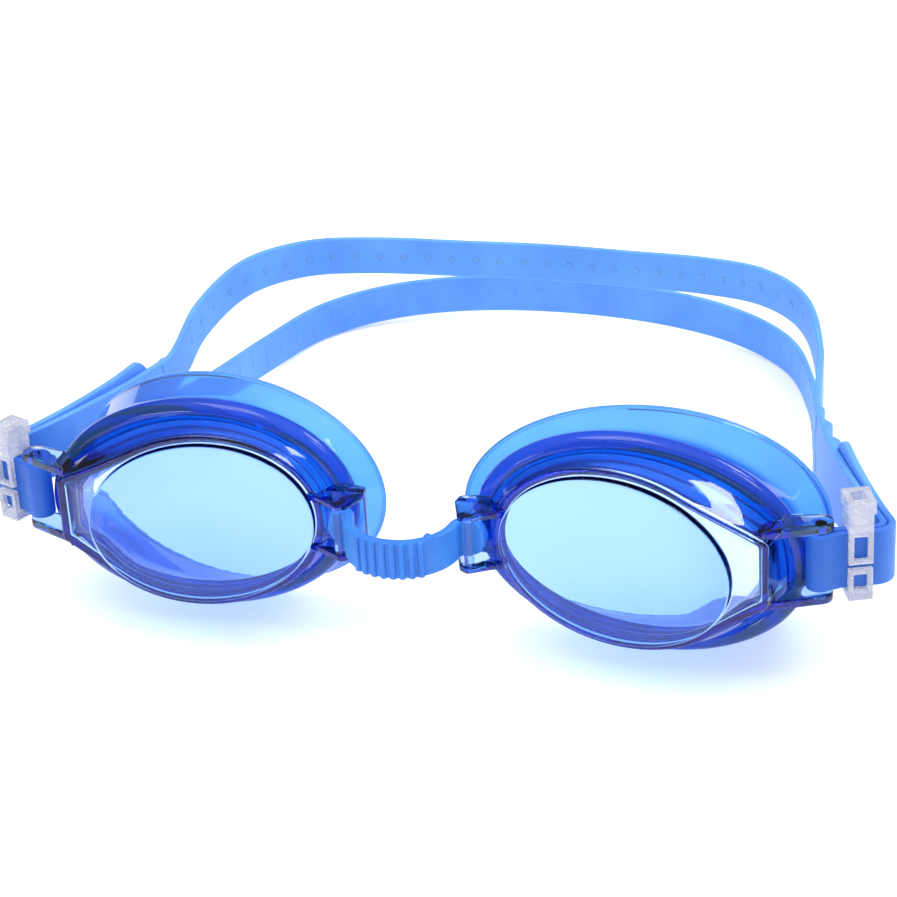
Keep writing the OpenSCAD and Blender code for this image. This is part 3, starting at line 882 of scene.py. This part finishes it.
def makeStrap(s, material):
    right, left = (strapEnd(s, long) for long in s["tails"])
    lower, lowerRoute = strapBand(s, s["lower"])
    strap = makePiece("headStrap", right, material)
    parts = [flipped(left), lower, joined(gripDots(s, lowerRoute))]
    combine(strap, [("UNION", makePiece(f"strapPart{i}", part, material))
                    for i, part in enumerate(parts)])
    # The doubled silicone near the temple bars looks deeper
    places = np.array([v.co for v in strap.data.vertices]) / mm
    bar = leaned(np.array([*barPlan, 0])) + origin
    fromBar = np.hypot(np.abs(places[:, 0]) - bar[0], places[:, 1] - bar[1])
    deepen(strap.data, 1 - ease((fromBar - s["deepNear"]) / s["deepFade"]))
    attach(strap, "strap")
    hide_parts("right_strap_end", "left_strap_end", "lower_strap_band")
    band, route = strapBand(s, s["upper"])
    band = joined([outward(band)] + gripDots(s, route))
    upper = makePiece("upperStrapBand", band, material, 50)
    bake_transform(upper)
    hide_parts("upper_strap_band")
    return strap, upper


for made in makeStrap(strapSet, materials["strap"]):
    print(made.name, "has", len(made.data.polygons), "faces")


clipSet = {
    "at": 6.4, "deep": 4.2, "wall": 1.1, "fit": 0.2, "bar": 0.9, "bevel": 0.28, "overhang": 0.3,
    # bottom, base, slit from -1.2 to -0.3, window from 0.5 to 4.9, strap top, hollow, cap, top
    "levels": (-7.1, -5.7, -2.2, -1.2, -0.3, 0.5, 4.9, 5.55, 6.9, 9.1, 11.5),
}


def cellBody(x, y, z, solid):
    # The outside of a stack of box cells: each face between a solid cell and an empty one
    shape = np.pad(solid, 1)
    verts, faces, seen = [], [], {}

    def corner(i, j, k):
        if (i, j, k) not in seen:
            seen[(i, j, k)] = len(verts)
            verts.append((x[i], y[j], z[k]))
        return seen[(i, j, k)]

    for i, j, k in np.argwhere(solid):
        for axis in range(3):
            for way in (0, 1):
                beside = [i + 1, j + 1, k + 1]
                beside[axis] += 1 if way else -1
                if shape[tuple(beside)]:
                    continue
                square = [(0, 0), (1, 0), (1, 1), (0, 1)]
                ids = []
                for p, q in square if way else square[::-1]:
                    c = [i, j, k]
                    c[axis] += way
                    c[(axis + 1) % 3] += p
                    c[(axis + 2) % 3] += q
                    ids.append(corner(*c))
                faces.append(ids)
    return np.array(verts, float), faces


def clipCells(s):
    # Where a clip's walls lie along, across and up, and which cells between them are solid
    room = strapSet["layer"] + strapSet["thick"] / 2 + s["fit"]
    face, over = room + s["wall"], s["overhang"]
    x = [-over, 0, s["bar"], s["deep"] - s["bar"], s["deep"], s["deep"] + over]
    y = [-face - over, -face, -room, room, face, face + over]
    solid = np.zeros((5, 5, 10), bool)
    solid[1:4, 1:4, 0:9] = True          # block
    solid[0:5, 0:5, 9] = True            # cap
    solid[1:4, 2, 1:7] = False           # way for the strap
    solid[2, 1, 5] = False               # upper window
    solid[1:4, 1, 3] = False             # slit
    solid[2, 1, 1] = False               # lower window
    solid[2, 2, 8:10] = False            # hollow under the cap
    return x, y, s["levels"], solid


def makeClip(side, s, material):
    verts, faces = cellBody(*clipCells(s))
    along, across = unit(strapSet["run"]), unit(strapSet["run"] + 90)
    plan = barPlan + (s["at"] - s["deep"] / 2 + verts[:, :1]) * along + verts[:, 1:2] * across
    part = np.column_stack([plan, verts[:, 2] + stance["strapZ"]]), faces
    clip = makePiece(side + "StrapClip", sided(part, side), material, 40)
    soften = clip.modifiers.new("edges", "BEVEL")
    soften.width = s["bevel"] * mm
    soften.segments = 3
    soften.limit_method = "ANGLE"
    settle(clip, 50)
    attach(clip, side + "_clip")
    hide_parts(side + "_clip")
    return clip


for side in ("right", "left"):
    made = makeClip(side, clipSet, materials["clip"])
    print(made.name, "has", len(made.data.polygons), "faces")


studio = {
    "floor": 3.0, "sky": 1.05, "room": 1.0, "floorGlow": 0.2,
    "lamps": [   # place, target, size, watts
        ((-0.15, -0.10, 0.80), (0.0, -0.03, 0.02), (0.40, 0.40), 2.2),
        ((0.45, 0.39, 0.58), (0.05, -0.04, 0.03), (0.22, 0.20), 1.5),
        ((0.54, -0.01, 0.61), (0.0, -0.04, 0.03), (0.12, 0.22), 0.8),
        ((-0.42, -0.74, 0.15), (-0.04, -0.04, 0.04), (0.14, 0.10), 0.3)],
    "shades": [(0.0, 0.05), (0.45, 0.03), (0.55, 0.10), (0.8, 0.22), (1.0, 0.12)],   # down to up
}


def makeStudio(s):
    half = s["floor"] / 2
    mesh = bpy.data.meshes.new("floor")
    corners = [(-half, -half, 0), (half, -half, 0), (half, half, 0), (-half, half, 0)]
    mesh.from_pydata(corners, [], [(0, 1, 2, 3)])
    floor = bpy.data.objects.new("floor", mesh)
    bpy.context.scene.collection.objects.link(floor)
    paint = bpy.data.materials.new("floorPaint")
    paint.use_nodes = True
    nodes, link = paint.node_tree.nodes, paint.node_tree.links.new
    noise, ramp = nodes.new("ShaderNodeTexNoise"), nodes.new("ShaderNodeMapRange")
    place = nodes.new("ShaderNodeTexCoord")
    noise.inputs["Scale"].default_value = 12
    ramp.inputs["To Min"].default_value = 0.86
    ramp.inputs["To Max"].default_value = 0.9
    link(place.outputs["Object"], noise.inputs["Vector"])
    link(noise.outputs["Fac"], ramp.inputs["Value"])
    link(ramp.outputs["Result"], nodes["Principled BSDF"].inputs["Base Color"])
    for key, value in (("Roughness", 0.8), ("Specular IOR Level", 0.0),
                       ("Emission Color", (1, 1, 1, 1)), ("Emission Strength", s["floorGlow"])):
        nodes["Principled BSDF"].inputs[key].default_value = value
    mesh.materials.append(paint)
    for i, (at, target, size, watts) in enumerate(s["lamps"]):
        lamp = bpy.data.lights.new(f"softbox{i}", "AREA")
        lamp.shape, lamp.size, lamp.size_y, lamp.energy = "RECTANGLE", size[0], size[1], watts
        o = bpy.data.objects.new(f"softbox{i}", lamp)
        way = Vector(target) - Vector(at)
        o.matrix_world = Matrix.Translation(at) @ way.to_track_quat("-Z", "Y").to_matrix().to_4x4()
        bpy.context.scene.collection.objects.link(o)
    world = bpy.data.worlds.new("studio")
    bpy.context.scene.world = world
    world.use_nodes = True
    nodes, link = world.node_tree.nodes, world.node_tree.links.new
    sky, out = nodes["Background"], nodes["World Output"]
    sky.inputs["Color"].default_value = (0.97, 0.98, 1.0, 1)
    sky.inputs["Strength"].default_value = s["sky"]
    # Reflections see a dim room under the softboxes, so that the deep tints stay deep
    room, mix, path, where, split, shade, height = (nodes.new("ShaderNode" + kind) for kind in (
        "Background", "MixShader", "LightPath", "TexCoord", "SeparateXYZ", "ValToRGB", "MapRange"))
    link(where.outputs["Generated"], split.inputs["Vector"])
    height.inputs["From Min"].default_value = -1
    link(split.outputs["Z"], height.inputs["Value"])
    link(height.outputs["Result"], shade.inputs["Fac"])
    room.inputs["Strength"].default_value = s["room"]
    stops = shade.color_ramp.elements
    for at, value in s["shades"]:
        stop = stops.new(at) if 0 < at < 1 else stops[int(at)]
        stop.color = (value * 0.96, value * 0.98, value, 1)
    link(shade.outputs["Color"], room.inputs["Color"])
    link(path.outputs["Is Glossy Ray"], mix.inputs["Fac"])
    link(sky.outputs["Background"], mix.inputs[1])
    link(room.outputs["Background"], mix.inputs[2])
    link(mix.outputs["Shader"], out.inputs["Surface"])


makeStudio(studio)
bpy.context.scene.view_settings.view_transform = "Standard"
print("floor and lights placed")
